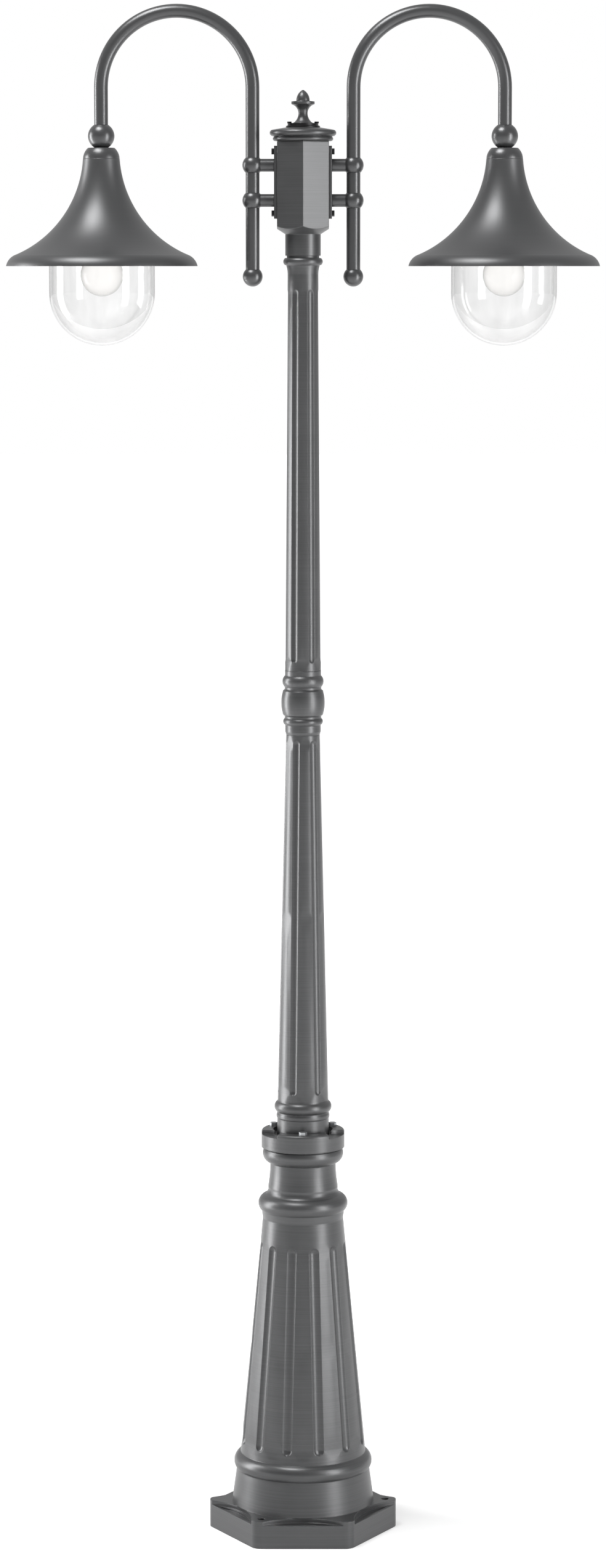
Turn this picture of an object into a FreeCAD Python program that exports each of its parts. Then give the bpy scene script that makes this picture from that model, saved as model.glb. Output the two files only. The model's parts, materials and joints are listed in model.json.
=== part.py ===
import FreeCAD, Part
import math
import os
import Sketcher

# A street lamp post of painted cast aluminium: a fluted post on a hexagonal foot, a hexagonal
# head box, and two swan-neck arms that each carry a spun shade, a clear globe and a bulb.
# Frame: +Z up, the origin on the floor at the post's axis, the arms along X, millimetres.

SIZES = {
    # foot and pedestal
    "foot_corner": 151.0, "foot_height": 43.5, "foot_corner_round": 17.0,
    "scoop_rim_level": 37.0, "scoop_floor_level": 33.5, "scoop_rim_width": 4.5,
    "scoop_reach": 20.0, "scoop_wall": 2.5, "scoop_half": 64.0, "scoop_floor_half": 52.0,
    "anchor_pitch_radius": 131.0, "anchor_hole": 6.0,
    "cone_foot": 112.9, "cone_top": 105.4, "cone_top_level": 98.0,
    "ring_top": 99.5, "ring_top_level": 124.0, "ring_round": 16.3,
    "taper_foot": 98.6, "taper_foot_level": 131.0, "taper_top": 63.7, "taper_top_level": 503.0,
    "pedestal_bead_foot": 65.4, "pedestal_bead_foot_level": 515.0,
    "pedestal_bead_top": 59.5, "pedestal_bead_top_level": 541.0, "pedestal_bead_round": 15.0,
    "pedestal_bead_fillet": 12.0,
    "neck_foot": 55.2, "neck_foot_level": 552.7, "neck_top": 51.7, "neck_top_level": 591.5,
    "neck_hollow": 260.0,
    "cup_rim": 61.6, "cup_round": 16.0, "cup_level": 615.0,
    "casting_wall": 7.0, "floor_opening": 104.0,
    "flange_radius": 58.0, "flange_thick": 6.0, "flange_gap": 0.4,
    # collar
    "collar_radius": 65.6, "collar_level": 645.0, "collar_bevel": 4.0, "collar_shadow": 0.8,
    "collar_well": 47.0, "collar_well_depth": 8.0,
    "collar_cut_radius": 26.0, "collar_cut_centre": 71.0, "collar_cut_depth": 6.5,
    "collar_bolt_circle": 54.0, "collar_bolt": 4.0, "collar_bolt_head": 6.4,
    "collar_bolt_head_high": 5.0, "collar_bolt_length": 42.0,
    # lower shaft
    "spigot_level": 562.0, "shaft_stub": 40.8, "stub_top_level": 663.0,
    "band_radius": 41.7, "band_foot_level": 665.0, "band_top_level": 669.0,
    "shaft_bead_foot_level": 673.0, "shaft_bead_foot": 40.5,
    "shaft_bead_top_level": 690.5, "shaft_bead_round": 10.6,
    "lower_foot": 39.9, "lower_foot_level": 692.5, "lower_top": 26.3, "lower_top_level": 1272.3,
    "shaft_wall": 4.0,
    # joint sleeve and its spigot
    "sleeve_step": 27.8, "sleeve_step_level": 1277.0,
    "bead_low_foot_level": 1287.5, "bead_low_top_level": 1298.0, "bead_low_round": 6.2,
    "crease": 28.6, "barrel_foot_level": 1303.5, "barrel_top_level": 1341.5,
    "barrel_foot": 31.2, "barrel_round": 66.0,
    "bead_high_foot_level": 1347.0, "bead_high_top_level": 1365.0, "bead_high_round": 12.5,
    "sleeve_top": 28.2, "upper_foot_level": 1373.0,
    "inner_spigot": 20.0, "inner_spigot_wall": 4.5, "inner_spigot_reach": 38.0,
    # upper shaft
    "upper_foot": 28.0, "upper_top": 23.6, "upper_top_level": 1988.0, "upper_wall": 3.6,
    "astragal_foot": 27.6, "astragal_foot_level": 2001.5, "astragal_top_level": 2012.5,
    "astragal_round": 6.6, "upper_flare": 26.0,
    "groove_radius": 25.2, "head_spigot": 24.4, "head_spigot_level": 2046.0,
    "head_spigot_bore": 19.5,
    # flutes
    "lower_flute_width": 12.5, "lower_flute_depth": 2.6,
    "lower_flute_foot_level": 704.0, "lower_flute_top_level": 1264.5,
    "upper_flute_width": 12.5, "upper_flute_depth": 2.4,
    "upper_flute_foot_level": 1385.5, "upper_flute_top_level": 1964.0,
    "pedestal_flute_width": 17.0, "pedestal_flute_depth": 3.6,
    "pedestal_flute_foot_level": 139.0, "pedestal_flute_top_level": 466.0,
    # head box and its cover
    "box_flat": 40.0, "box_wall": 4.0, "box_foot_level": 2049.0, "box_bevel_level": 2057.0,
    "box_level": 2190.0, "box_floor": 2063.0,
    "box_neck": 27.4, "box_neck_level": 2016.0, "box_bore": 24.5,
    "head_gasket_thick": 1.5,
    "cover_lip": 44.2, "cover_lip_round": 3.6, "cover_lip_level": 2198.2,
    "cover_edge": 48.2, "cover_edge_foot_level": 2199.2, "cover_edge_round": 5.0,
    "cover_edge_top_level": 2208.4, "cover_crown": 27.0, "cover_level": 2212.0,
    "plate_rim": 26.3, "plate_rim_thick": 2.2, "plate_radius": 23.6, "plate_thick": 6.5,
    "plate_screw_place": 21.0, "plate_screw_head": 3.4, "plate_screw_head_high": 2.6,
    "plate_screw": 1.9, "plate_screw_length": 10.0,
    "finial_flare": 15.9, "finial_waist": 7.1, "finial_waist_level": 2233.6,
    "finial_low_hollow": 17.36, "finial_high_hollow": 14.43,
    "finial_neck": 14.5, "finial_neck_level": 2246.2,
    "finial_disc": 17.9, "finial_disc_foot_level": 2247.6, "finial_disc_top_level": 2251.6,
    "acorn_radius": 10.3, "acorn_foot_level": 2252.6, "acorn_round": 18.5, "acorn_tip": 0.9,
    "finial_level": 2269.2,
    "terminal_half": 24.0, "terminal_width": 18.0, "terminal_high": 16.0,
    "rail_width": 16.0, "rail_thick": 2.0,
    "earth_level": 2100.0, "earth_screw": 2.5, "earth_head": 4.4, "earth_head_high": 3.6,
    "earth_length": 3.8,
    "grub_level": 2032.0, "grub_screw": 3.0,
    # arms
    "wall_plate_thick": 4.6, "wall_plate_width": 40.0,
    "wall_plate_foot_level": 2072.7, "wall_plate_level": 2183.8,
    "wall_screw_high_level": 2175.6, "wall_screw_low_level": 2080.8,
    "wall_screw": 2.5, "wall_screw_head": 4.6, "wall_screw_head_high": 4.0,
    "wall_screw_length": 14.0, "screw_gap": 0.15,
    "cross_tube": 9.9, "cross_bore": 7.6, "high_cross_level": 2154.5, "low_cross_level": 2100.6,
    "tee_ball": 15.7, "arm_pole_place": 77.8, "arm_lamp_place": 311.0,
    "arm_tube": 10.65, "arm_wall": 2.3, "fit_gap": 0.1, "arm_top": 2400.0,
    "end_ball": 15.3, "end_ball_level": 1983.9,
    "lamp_ball": 20.4, "lamp_ball_level": 2198.8, "arm_end_level": 2205.0,
    "cable": 2.2, "cable_bend": 10.0, "cable_hole": 5.0, "cable_end_level": 2094.0,
    # lamps
    "nipple": 5.0, "nipple_bore": 3.4, "nipple_top_level": 2204.0, "nipple_foot_level": 2092.0,
    "cap_top": 20.5, "cap_top_level": 2181.0, "cap_seat": 12.0, "cap_seat_level": 2178.0,
    "cap_foot": 28.2, "cap_foot_level": 2164.5, "cap_round": 23.0, "cap_inner": 25.0,
    "cap_roof": 3.0,
    "shade_thick": 2.0, "shade_axis": 199.9, "shade_centre_level": 2176.0, "shade_round": 172.0,
    "shade_rim": 148.1, "rim_level": 2000.0, "lip_round": 24.0, "shade_waist": 131.8,
    "holder": 19.5, "holder_level": 2098.0, "holder_shoulder": 12.0, "holder_shoulder_high": 6.0,
    "holder_foot_level": 2043.0, "holder_bore": 14.2, "holder_bore_level": 2074.8,
    "gallery_level": 2078.0, "gallery_thick": 3.0, "gallery_foot_level": 2056.0,
    "gallery_inner": 47.5, "gallery_outer": 50.5,
    "gasket_inner": 42.0, "gasket_outer": 46.6, "gasket_thick": 3.0,
    "globe": 81.6, "globe_wall": 3.6, "globe_centre_level": 1959.4, "globe_side_level": 2012.0,
    "globe_neck": 47.0, "globe_neck_level": 2050.0, "globe_shoulder": 38.0,
    "bulb": 32.9, "bulb_centre_level": 1986.5, "bulb_wall": 1.0,
    "bulb_throat": 13.0, "bulb_throat_level": 2047.0, "bulb_neck_hollow": 42.0,
    "bulb_tangent": 28.4, "bulb_tangent_level": 2003.1,
    "screw_cap": 13.2, "screw_cap_wall": 0.8, "screw_cap_level": 2068.0,
    "screw_cap_shoulder": 8.0, "screw_cap_top_level": 2071.5,
    "contact": 4.8, "contact_disc": 7.9, "contact_level": 2074.0,
    "stem": 5.0, "stem_level": 2046.0, "stem_foot_level": 2012.0, "stem_flare": 11.35,
    "filament": 1.6, "filament_foot_level": 1970.0,
}


class Size:
    """A length with its value and the spreadsheet formula that it comes from."""

    def __init__(self, value, formula):
        self.value = float(value)
        self.formula = formula

    def __add__(self, other):
        other = as_size(other)
        return Size(self.value + other.value, "(%s + %s)" % (self.formula, other.formula))

    def __sub__(self, other):
        other = as_size(other)
        return Size(self.value - other.value, "(%s - %s)" % (self.formula, other.formula))

    def __mul__(self, other):
        other = as_size(other)
        return Size(self.value * other.value, "(%s * %s)" % (self.formula, other.formula))

    def __truediv__(self, other):
        other = as_size(other)
        return Size(self.value / other.value, "(%s / %s)" % (self.formula, other.formula))


def as_size(number):
    """A plain number as a Size; a Size stays as it is."""
    if isinstance(number, Size):
        return number
    return Size(number, repr(float(number)))


def root(size):
    """The square root of a Size."""
    return Size(math.sqrt(size.value), "sqrt(%s)" % size.formula)


class Dims:
    """Every driving dimension by name, as a Size that points to its cell."""

    def __init__(self, sizes):
        for name, value in sizes.items():
            setattr(self, name, Size(value, "Sizes." + name))


D = Dims(SIZES)
ZERO = as_size(0)
UP = FreeCAD.Vector(0, 0, 1)
SIDES = {"left": -1, "right": 1}

doc = FreeCAD.newDocument("street_lamp_post")
nodes = []


def write_sheet():
    """Put every driving dimension into the spreadsheet, with its name as the alias."""
    sheet = doc.addObject("Spreadsheet::Sheet", "Sizes")
    for row, (name, value) in enumerate(SIZES.items(), start=1):
        sheet.set("A%d" % row, name)
        sheet.set("B%d" % row, str(value))
        sheet.setAlias("B%d" % row, name)
    doc.recompute()


def keep(thing, label):
    """Name a finished sub-part and remember it for the export."""
    thing.Label = label
    nodes.append(thing)
    return thing


# ---------------------------------------------------------------- sketch helpers

def plane(body, role):
    """One of the body's own origin planes."""
    return [f for f in body.Origin.OriginFeatures if f.Role == role][0]


def new_sketch(body, role, level=None):
    """A sketch on an origin plane, raised by a level along the plane's normal if one is given."""
    sketch = body.newObject("Sketcher::SketchObject", body.Name + "Sketch")
    sketch.AttachmentSupport = (plane(body, role), [""])
    sketch.MapMode = "FlatFace"
    if level is not None:
        sketch.AttachmentOffset = FreeCAD.Placement(
            FreeCAD.Vector(0, 0, level.value), FreeCAD.Rotation())
        sketch.setExpression("AttachmentOffset.Base.z", level.formula)
    return sketch


def bind(sketch, kind, size, *place):
    """Add a dimension to a sketch and bind it to its formula."""
    index = sketch.addConstraint(Sketcher.Constraint(kind, *place, size.value))
    sketch.setExpression("Constraints[%d]" % index, size.formula)


def pin(sketch, geometry, point, x, y):
    """Fix a sketch point at x, y. A zero puts it on the sketch's own axis."""
    if x.value == 0:
        sketch.addConstraint(Sketcher.Constraint("PointOnObject", geometry, point, -2))
    else:
        bind(sketch, "DistanceX", x, geometry, point)
    if y.value == 0:
        sketch.addConstraint(Sketcher.Constraint("PointOnObject", geometry, point, -1))
    else:
        bind(sketch, "DistanceY", y, geometry, point)


def add_arc(sketch, start, end, bulge):
    """Add the arc of radius |bulge| from start to end; plus bulges towards larger X.
    Returns the geometry with the numbers of its start and end points: a sketch's arcs always
    run counter-clockwise, so the two are swapped where this one runs the other way."""
    chord = end - start
    half = chord.Length / 2
    radius = max(abs(bulge), half)
    side = FreeCAD.Vector(chord.y, -chord.x, 0).normalize()
    if side.x < 0:
        side = side * -1
    side = side * math.copysign(1, bulge)
    centre = start + chord / 2 - side * math.sqrt(radius ** 2 - half ** 2)
    counter_clockwise = (start - centre).cross(start + chord / 2 + side * radius - centre).z > 0
    first, last = (start, end) if counter_clockwise else (end, start)
    turn_first = math.atan2(first.y - centre.y, first.x - centre.x)
    turn_last = math.atan2(last.y - centre.y, last.x - centre.x)
    if turn_last < turn_first:
        turn_last += 2 * math.pi
    circle = Part.Circle(centre, UP, radius)
    geometry = sketch.addGeometry(Part.ArcOfCircle(circle, turn_first, turn_last))
    return (geometry, 1, 2) if counter_clockwise else (geometry, 2, 1)


def draw_outline(sketch, outline, closed=True):
    """Draw an outline of (x, y) points. A third value on a point makes the edge that arrives
    there an arc of that radius, bulging outwards, or inwards where it is negative."""
    points = [FreeCAD.Vector(p[0].value, p[1].value, 0) for p in outline]
    ends = []
    for index, point in enumerate(outline):
        if index == 0 and not closed:
            continue
        start, end = points[index - 1], points[index]
        if len(point) == 3:
            ends.append(add_arc(sketch, start, end, point[2].value))
        else:
            geometry = sketch.addGeometry(Part.LineSegment(start, end))
            ends.append((geometry, 1, 2))
    for index, (geometry, first, last) in enumerate(ends):
        before = ends[index - 1]
        if index > 0 or closed:
            sketch.addConstraint(
                Sketcher.Constraint("Coincident", before[0], before[2], geometry, first))
    if not closed:
        pin(sketch, ends[0][0], ends[0][1], outline[0][0], outline[0][1])
    for (geometry, first, last), point in zip(ends, outline if closed else outline[1:]):
        pin(sketch, geometry, last, point[0], point[1])
        if len(point) == 3:
            radius = point[2] * (-1 if point[2].value < 0 else 1)
            bind(sketch, "Radius", radius, geometry)


def draw_circle(sketch, x, y, radius):
    """A circle at x, y."""
    centre = FreeCAD.Vector(x.value, y.value, 0)
    geometry = sketch.addGeometry(Part.Circle(centre, UP, radius.value))
    pin(sketch, geometry, 3, x, y)
    bind(sketch, "Radius", radius, geometry)


def feature(body, kind, sketch):
    """A feature of the body that works from a sketch."""
    made = body.newObject("PartDesign::" + kind, body.Name + kind)
    made.Profile = sketch
    sketch.Visibility = False
    return made


def extrude(body, kind, sketch, length, both_ways=False, reverse=False):
    """A Pad or a Pocket of a given length."""
    made = feature(body, kind, sketch)
    made.Midplane = both_ways
    made.Reversed = reverse
    made.Length = length.value
    made.setExpression("Length", length.formula)
    return made


def new_body(label):
    """An empty body for one sub-part."""
    return keep(doc.addObject("PartDesign::Body", label), label)


def turned(label, outline, x=None):
    """A body of revolution about the vertical axis, moved to x along X if x is given."""
    body = new_body(label)
    sketch = new_sketch(body, "XZ_Plane")
    draw_outline(sketch, outline)
    made = feature(body, "Revolution", sketch)
    made.ReferenceAxis = (sketch, ["V_Axis"])
    made.Angle = 360
    if x is not None:
        body.Placement.Base.x = x.value
        body.setExpression("Placement.Base.x", x.formula)
    return body


def ring(label, inner, outer, foot, top, x=None):
    """A plain ring with a square section."""
    return turned(label, [(inner, foot), (outer, foot), (outer, top), (inner, top)], x)


def repeat_round(body, made, count):
    """Repeat a feature evenly about the vertical axis."""
    pattern = body.newObject("PartDesign::PolarPattern", body.Name + "Pattern")
    pattern.Originals = [made]
    pattern.Axis = (plane(body, "Z_Axis"), [""])
    pattern.Angle = 360
    pattern.Occurrences = count
    body.Tip = pattern
    return pattern


# ---------------------------------------------------------------- primitive helpers

def set_place(thing, x=ZERO, y=ZERO, z=ZERO, turn=None):
    """Place a primitive and bind its place to the sheet."""
    rotation = turn if turn is not None else FreeCAD.Rotation()
    thing.Placement = FreeCAD.Placement(FreeCAD.Vector(x.value, y.value, z.value), rotation)
    thing.setExpression("Placement.Base.x", x.formula)
    thing.setExpression("Placement.Base.y", y.formula)
    thing.setExpression("Placement.Base.z", z.formula)
    return thing


def primitive(kind, sizes):
    """A Part primitive with its properties bound to the sheet."""
    made = doc.addObject("Part::" + kind, kind)
    for name, size in sizes.items():
        setattr(made, name, size.value)
        made.setExpression(name, size.formula)
    return made


def cylinder(radius, length, x=ZERO, y=ZERO, z=ZERO, turn=None):
    return set_place(primitive("Cylinder", {"Radius": radius, "Height": length}), x, y, z, turn)


def sphere(radius, x=ZERO, y=ZERO, z=ZERO):
    return set_place(primitive("Sphere", {"Radius": radius}), x, y, z)


def box(length, width, height, x=ZERO, y=ZERO, z=ZERO):
    return set_place(primitive("Box", {"Length": length, "Width": width, "Height": height}), x, y, z)


def fuse(things):
    made = doc.addObject("Part::MultiFuse", "Fuse")
    made.Shapes = things
    return made


def cut(base, tool):
    made = doc.addObject("Part::Cut", "Cut")
    made.Base = base
    made.Tool = tool
    return made


def group(things):
    made = doc.addObject("Part::Compound", "Group")
    made.Links = things
    return made


def hex_screw(across_corner, head_high, radius, length, x, y, z, turn=None):
    """A hexagon-head screw: z is under its head, and the shank goes down before the turn."""
    head = primitive("Prism", {"Circumradius": across_corner, "Height": head_high})
    head.Polygon = 6
    shank = primitive("Cylinder", {"Radius": radius, "Height": length})
    set_place(shank, z=length * -1)
    screw = fuse([head, shank])
    return set_place(screw, x, y, z, turn)


ALONG_X = FreeCAD.Rotation(FreeCAD.Vector(0, 1, 0), 90)
ALONG_MINUS_X = FreeCAD.Rotation(FreeCAD.Vector(0, 1, 0), -90)
ALONG_Y = FreeCAD.Rotation(FreeCAD.Vector(1, 0, 0), -90)


def outwards(side):
    """The turn that points a primitive's Z away from the post on that side."""
    return ALONG_X if side > 0 else ALONG_MINUS_X


# ---------------------------------------------------------------- flutes

def flute_outline(foot_radius, foot_level, top_radius, top_level, round_radius, depth):
    """Half of a long capsule that lies along a tapered surface and sinks into it by depth.
    Its straight edge, on the capsule's own axis, is drawn first, from foot to top."""
    run_r = top_radius - foot_radius
    run_z = top_level - foot_level
    length = root(run_r * run_r + run_z * run_z)
    along_r = run_r / length
    along_z = run_z / length
    lift = round_radius - depth
    foot = (foot_radius + along_z * lift, foot_level - along_r * lift)
    top = (top_radius + along_z * lift, top_level - along_r * lift)
    inwards = (along_z * round_radius * -1, along_r * round_radius)
    foot_tip = (foot[0] - along_r * round_radius, foot[1] - along_z * round_radius)
    top_tip = (top[0] + along_r * round_radius, top[1] + along_z * round_radius)
    return [top_tip,
            (top[0] + inwards[0], top[1] + inwards[1], round_radius * -1),
            (foot[0] + inwards[0], foot[1] + inwards[1]),
            (foot_tip[0], foot_tip[1], round_radius * -1)]


def radius_at(level, foot, foot_level, top, top_level):
    """The radius of a straight taper at a level."""
    return foot + (top - foot) * ((level - foot_level) / (top_level - foot_level))


def add_flutes(body, taper, foot_level, top_level, width, depth, count, turn):
    """Cut round-ended flutes into a taper; turn is the first flute's angle about Z."""
    half = width / 2
    round_radius = (half * half + depth * depth) / (depth * 2)
    foot_middle = foot_level + half
    top_middle = top_level - half
    sketch = body.newObject("Sketcher::SketchObject", body.Name + "Flute")
    sketch.AttachmentSupport = (plane(body, "XZ_Plane"), [""])
    sketch.MapMode = "FlatFace"
    sketch.AttachmentOffset = FreeCAD.Placement(
        FreeCAD.Vector(), FreeCAD.Rotation(FreeCAD.Vector(0, 1, 0), turn))
    outline = flute_outline(radius_at(foot_middle, *taper), foot_middle,
                            radius_at(top_middle, *taper), top_middle, round_radius, depth)
    draw_outline(sketch, outline)
    doc.recompute()
    before = body.Shape.Volume
    made = feature(body, "Groove", sketch)
    made.ReferenceAxis = (sketch, ["Edge1"])
    made.Angle = 360
    repeat_round(body, made, count)
    doc.recompute()
    print("%s: flutes took %.0f mm3" % (body.Label, before - body.Shape.Volume))


# ---------------------------------------------------------------- the post

def pedestal_profile():
    """Half section of the pedestal: up the outside to the cup, down the inside to the floor."""
    wall = D.casting_wall
    stub = D.shaft_stub + D.flange_gap
    seat = D.cup_level - D.flange_thick
    recess = D.flange_radius + D.flange_gap
    return [
        (D.floor_opening, ZERO), (D.cone_foot, ZERO), (D.cone_foot, D.foot_height),
        (D.cone_top, D.cone_top_level), (D.ring_top, D.ring_top_level, D.ring_round),
        (D.taper_foot, D.taper_foot_level), (D.taper_top, D.taper_top_level),
        (D.pedestal_bead_foot, D.pedestal_bead_foot_level),
        (D.pedestal_bead_top, D.pedestal_bead_top_level, D.pedestal_bead_round),
        (D.neck_foot, D.neck_foot_level, D.pedestal_bead_fillet * -1),
        (D.neck_top, D.neck_top_level, D.neck_hollow * -1),
        (D.cup_rim, D.cup_level, D.cup_round),
        (recess, D.cup_level), (recess, seat), (stub, seat), (stub, D.pedestal_bead_top_level),
        (D.taper_top - wall, D.pedestal_bead_foot_level), (D.taper_foot - wall, D.taper_foot_level),
        (D.cone_top - wall, D.cone_top_level), (D.floor_opening, D.foot_height),
    ]


def polar(radius, degrees, centre=(ZERO, ZERO)):
    """A point at a radius and an angle from a centre, as Sizes."""
    angle = math.radians(degrees)
    return (centre[0] + radius * math.cos(angle), centre[1] + radius * math.sin(angle))


def draw_rounded_hexagon(sketch, corner, rounding):
    """A hexagon with two corners on the X axis. It is the six corner circles' hull: an arc at
    each corner and a line between each two."""
    middle = corner - rounding * (2 / math.sqrt(3))
    geometry = []
    for index in range(6):
        centre = polar(middle, 60 * index)
        point = FreeCAD.Vector(centre[0].value, centre[1].value, 0)
        from_turn = math.radians(60 * index - 30)
        to_turn = math.radians(60 * index + 30)
        circle = Part.Circle(point, UP, rounding.value)
        arc = sketch.addGeometry(Part.ArcOfCircle(circle, from_turn, to_turn))
        side_start = point + rounding.value * FreeCAD.Vector(math.cos(to_turn), math.sin(to_turn), 0)
        following = polar(middle, 60 * index + 60)
        side_end = FreeCAD.Vector(following[0].value, following[1].value, 0)
        side_end += rounding.value * FreeCAD.Vector(math.cos(to_turn), math.sin(to_turn), 0)
        side = sketch.addGeometry(Part.LineSegment(side_start, side_end))
        bind(sketch, "Radius", rounding, arc)
        pin(sketch, arc, 3, *centre)
        geometry += [arc, side]
    for index in range(0, 12, 2):
        arc, side, following = geometry[index], geometry[index + 1], geometry[(index + 2) % 12]
        sketch.addConstraint(Sketcher.Constraint("Tangent", arc, 2, side, 1))
        sketch.addConstraint(Sketcher.Constraint("Tangent", side, 2, following, 1))


def add_foot(body):
    """The hexagonal foot around the pedestal, open in the middle."""
    sketch = new_sketch(body, "XY_Plane")
    draw_rounded_hexagon(sketch, D.foot_corner, D.foot_corner_round)
    draw_circle(sketch, ZERO, ZERO, D.floor_opening + 1)
    extrude(body, "Pad", sketch, D.foot_height)


def add_scoops(body):
    """Six scoops along the foot's edges, each a low rim with a slightly deeper floor behind."""
    flat = D.foot_corner * math.cos(math.radians(30))
    inner = flat - D.scoop_reach
    add_scoop_step(body, D.scoop_rim_level, inner, flat, D.scoop_half, D.scoop_reach)
    add_scoop_step(body, D.scoop_floor_level, inner + D.scoop_wall, flat - D.scoop_rim_width,
                   D.scoop_floor_half)


def add_scoop_step(body, floor, inner, outer, half, overshoot=None):
    """Sink six bow-shaped steps: a straight outer side, and an arc that reaches in to inner.
    With an overshoot the straight side lies that far outside the foot."""
    rise = outer - inner
    bow = (half * half + rise * rise) / (rise * 2)
    outline = [(outer, half), (outer, half * -1, bow * -1)]
    if overshoot is not None:
        outline += [(outer + overshoot, half * -1), (outer + overshoot, half)]
    sketch = new_sketch(body, "XY_Plane", D.foot_height)
    sketch.AttachmentOffset.Rotation = FreeCAD.Rotation(UP, 30)
    draw_outline(sketch, outline)
    made = extrude(body, "Pocket", sketch, D.foot_height - floor)
    repeat_round(body, made, 6)
    doc.recompute()


def add_anchor_holes(body):
    """Three holes through alternate corners of the foot."""
    sketch = new_sketch(body, "XY_Plane", D.foot_height)
    draw_circle(sketch, D.anchor_pitch_radius, ZERO, D.anchor_hole)
    made = extrude(body, "Pocket", sketch, D.foot_height)
    repeat_round(body, made, 3)


def add_collar_threads(body):
    """Three tapped holes in the cup for the collar's bolts."""
    sketch = new_sketch(body, "XY_Plane", D.cup_level)
    draw_circle(sketch, ZERO, D.collar_bolt_circle * -1, D.collar_bolt + D.screw_gap)
    made = extrude(body, "Pocket", sketch, D.collar_bolt_length - (D.collar_level - D.cup_level) + 1)
    repeat_round(body, made, 3)


def make_base_casting():
    body = turned("base_casting", pedestal_profile())
    add_foot(body)
    doc.recompute()
    add_scoops(body)
    add_anchor_holes(body)
    add_collar_threads(body)
    taper = (D.taper_foot, D.taper_foot_level, D.taper_top, D.taper_top_level)
    add_flutes(body, taper, D.pedestal_flute_foot_level, D.pedestal_flute_top_level,
               D.pedestal_flute_width, D.pedestal_flute_depth, 12, 15)


def make_collar():
    """The clamp ring, with three lugs left standing between three curved cuts."""
    well_floor = D.collar_level - D.collar_well_depth
    bore = D.shaft_stub + D.flange_gap
    shadow = D.cup_level + 2
    body = turned("collar_ring", [
        (bore, D.cup_level), (D.cup_rim - D.collar_shadow, D.cup_level),
        (D.cup_rim - D.collar_shadow, shadow), (D.collar_radius, shadow),
        (D.collar_radius, D.collar_level - D.collar_bevel),
        (D.collar_radius - D.collar_bevel, D.collar_level, D.collar_bevel),
        (D.collar_well, D.collar_level), (D.collar_well, well_floor), (bore, well_floor)])
    sketch = new_sketch(body, "XY_Plane", D.collar_level)
    draw_circle(sketch, ZERO, D.collar_cut_centre, D.collar_cut_radius)
    made = extrude(body, "Pocket", sketch, D.collar_cut_depth)
    repeat_round(body, made, 3)
    doc.recompute()
    sketch = new_sketch(body, "XY_Plane", D.collar_level)
    draw_circle(sketch, ZERO, D.collar_bolt_circle * -1, D.collar_bolt + D.screw_gap)
    made = extrude(body, "Pocket", sketch, D.collar_level - D.cup_level)
    repeat_round(body, made, 3)


def make_collar_bolts():
    bolts = []
    for degrees in (-90, 30, 150):
        x, y = polar(D.collar_bolt_circle, degrees)
        bolts.append(hex_screw(D.collar_bolt_head, D.collar_bolt_head_high, D.collar_bolt,
                               D.collar_bolt_length, x, y, D.collar_level))
    keep(group(bolts), "collar_bolts")


def make_lower_shaft():
    wall = D.shaft_wall
    seat = D.cup_level - D.flange_thick
    neck = D.lower_top_level - D.inner_spigot_reach
    spigot = D.inner_spigot + D.fit_gap
    body = turned("lower_shaft", [
        (D.shaft_stub - wall, D.spigot_level), (D.shaft_stub, D.spigot_level),
        (D.shaft_stub, seat), (D.flange_radius, seat), (D.flange_radius, D.cup_level),
        (D.shaft_stub, D.cup_level), (D.shaft_stub, D.stub_top_level),
        (D.band_radius, D.band_foot_level), (D.band_radius, D.band_top_level),
        (D.shaft_bead_foot, D.shaft_bead_foot_level),
        (D.shaft_bead_foot, D.shaft_bead_top_level, D.shaft_bead_round),
        (D.lower_foot, D.lower_foot_level), (D.lower_top, D.lower_top_level),
        (spigot, D.lower_top_level), (spigot, neck),
        (D.lower_foot - wall, D.lower_foot_level)])
    sketch = new_sketch(body, "XY_Plane", D.cup_level)
    draw_circle(sketch, ZERO, D.collar_bolt_circle * -1, D.collar_bolt + D.screw_gap)
    made = extrude(body, "Pocket", sketch, D.flange_thick)
    repeat_round(body, made, 3)
    doc.recompute()
    taper = (D.lower_foot, D.lower_foot_level, D.lower_top, D.lower_top_level)
    add_flutes(body, taper, D.lower_flute_foot_level, D.lower_flute_top_level,
               D.lower_flute_width, D.lower_flute_depth, 6, 7)


def make_joint_sleeve():
    bore = D.inner_spigot + D.fit_gap
    turned("joint_sleeve", [
        (bore, D.lower_top_level), (D.lower_top, D.lower_top_level),
        (D.sleeve_step, D.sleeve_step_level), (D.sleeve_step, D.bead_low_foot_level),
        (D.crease, D.bead_low_top_level, D.bead_low_round),
        (D.crease, D.barrel_foot_level - 2), (D.barrel_foot, D.barrel_foot_level),
        (D.barrel_foot, D.barrel_top_level, D.barrel_round),
        (D.crease, D.barrel_top_level + 2), (D.crease, D.bead_high_foot_level),
        (D.sleeve_top, D.bead_high_top_level, D.bead_high_round),
        (D.sleeve_top, D.upper_foot_level), (bore, D.upper_foot_level)])


def make_joint_spigot():
    ring("joint_spigot", D.inner_spigot - D.inner_spigot_wall, D.inner_spigot,
         D.lower_top_level - D.inner_spigot_reach, D.upper_foot_level + D.inner_spigot_reach)


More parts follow.
